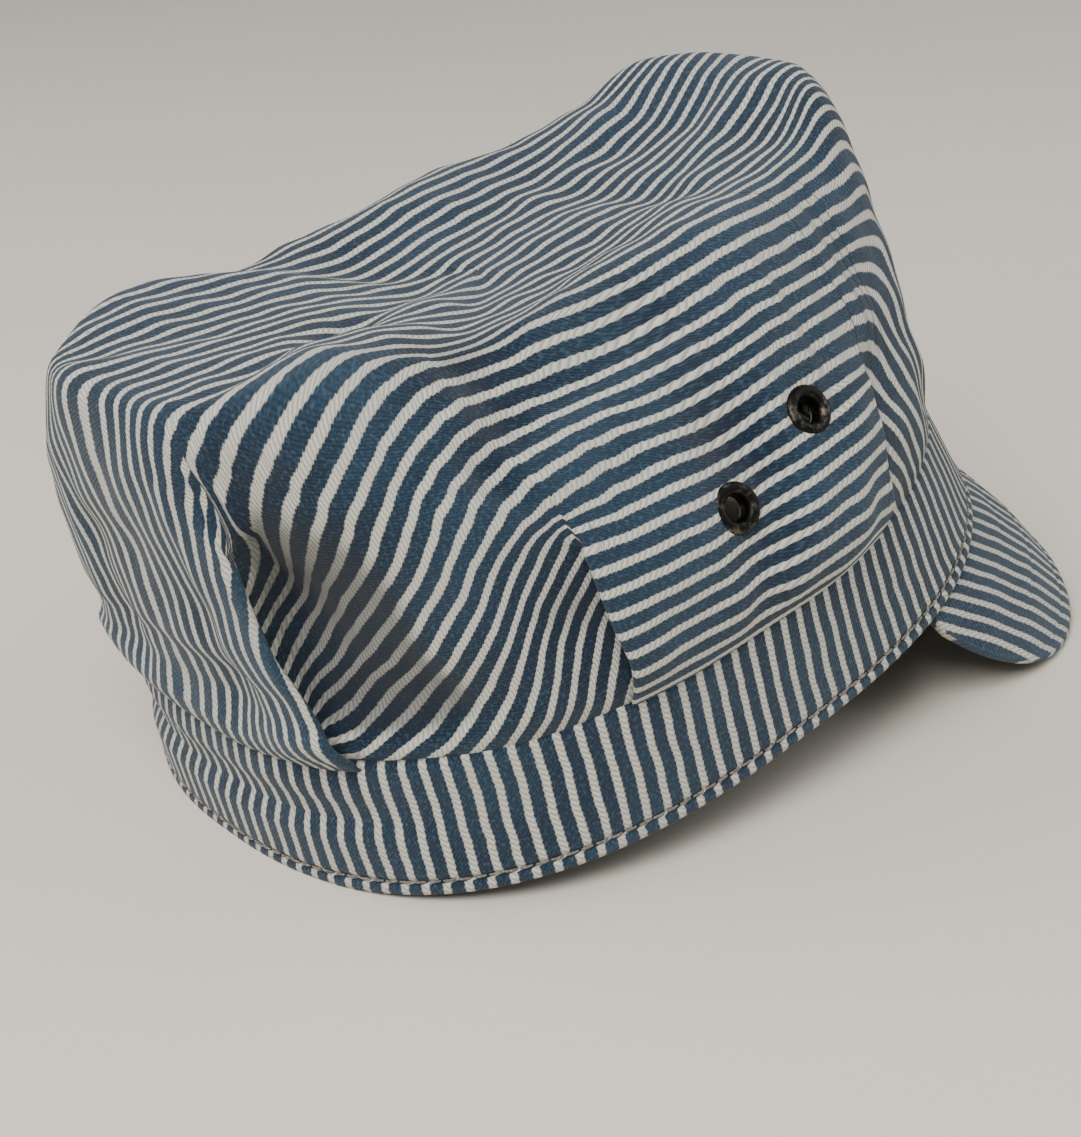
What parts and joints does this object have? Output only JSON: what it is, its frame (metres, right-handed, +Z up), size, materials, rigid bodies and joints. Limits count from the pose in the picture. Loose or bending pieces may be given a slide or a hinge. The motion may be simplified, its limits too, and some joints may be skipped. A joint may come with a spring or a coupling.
{
  "type": "railroad engineer cap",
  "caption": "Railroad engineer cap in blue and white hickory stripe, with a pleated crown, an upright band, a short visor and dark brass eyelets.",
  "frame": {"origin": "middle of the cap's footprint, on the surface that it rests on", "axes": "+Z up, the visor points to -Y, the wearer's left is +X"},
  "size_m": [0.1688, 0.2328, 0.1334],
  "materials": {
    "crown_denim": "matte striped denim, indigo ground with cream rope stripes",
    "band_denim": "matte striped denim, stripes upright, topstitched hem",
    "visor_denim": "matte striped denim over a stiff board, slightly worn",
    "dark_brass": "blackened brass, rubbed brighter on the rims"
  },
  "bodies": {
    "root": {"crown": "crown_denim", "band": "band_denim", "visor": "visor_denim", "eyelet_right_front": "dark_brass", "eyelet_right_back": "dark_brass", "eyelet_left_front": "dark_brass", "eyelet_left_back": "dark_brass"}
  },
  "joints": []
}
